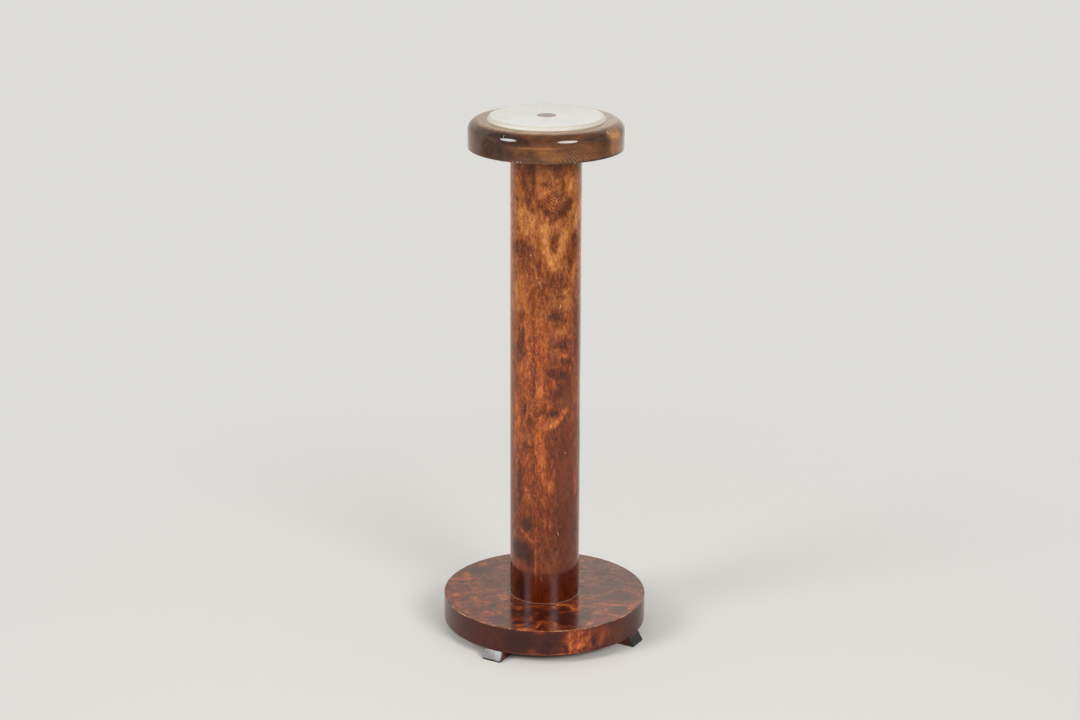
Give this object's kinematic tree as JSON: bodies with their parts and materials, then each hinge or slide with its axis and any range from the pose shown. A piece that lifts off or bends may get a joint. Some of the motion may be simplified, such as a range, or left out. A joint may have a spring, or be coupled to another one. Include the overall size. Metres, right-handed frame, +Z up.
{
  "type": "pedestal column stand",
  "caption": "Pedestal stand: a round veneered column on a disc base with a cross foot, and a rounded wooden top that holds a bevelled marble slab to stand things on.",
  "frame": {"origin": "on the floor, in the middle of the footprint, on the axis of the column", "axes": "+Z up along the column; the two bars of the cross foot lie along X and Y"},
  "size_m": [0.316, 0.316, 0.7763],
  "materials": {
    "flame_veneer": "flame birch veneer, stained red-brown, glossy French polish",
    "burl_veneer": "burl veneer, dark red-brown with orange veins, glossy polish",
    "plain_veneer": "plain balancing veneer, unpolished",
    "top_wood": "solid wood, stained brown, glossy polish",
    "foot_wood": "hardwood, stained red-brown, ends lacquered black",
    "core_wood": "bare softwood",
    "marble": "white marble, honed top, edge yellowed",
    "plug_filler": "grey-brown stone cap, matt",
    "steel": "plain mild steel"
  },
  "bodies": {
    "root": {"column_veneer_1": "flame_veneer", "column_veneer_2": "flame_veneer", "column_veneer_3": "flame_veneer", "base_top_veneer": "burl_veneer", "base_edge_veneer": "burl_veneer", "base_bottom_veneer": "plain_veneer", "top_board_1": "top_wood", "top_board_2": "top_wood", "top_board_3": "top_wood", "cross_foot_lower": "foot_wood", "cross_foot_upper": "foot_wood", "base_board_1": "core_wood", "base_board_2": "core_wood", "base_board_3": "core_wood", "base_board_4": "core_wood", "base_board_5": "core_wood", "column_stave_1": "core_wood", "column_stave_2": "core_wood", "column_stave_3": "core_wood", "column_stave_4": "core_wood", "column_stave_5": "core_wood", "column_stave_6": "core_wood", "column_stave_7": "core_wood", "column_stave_8": "core_wood", "column_bottom_block": "core_wood", "column_top_block": "core_wood", "marble_slab": "marble", "marble_plug": "plug_filler", "tie_rod": "steel", "tie_rod_nut_lower": "steel", "tie_rod_nut_upper": "steel", "washer_lower": "steel", "washer_upper": "steel", "foot_screws": "steel"}
  },
  "joints": []
}
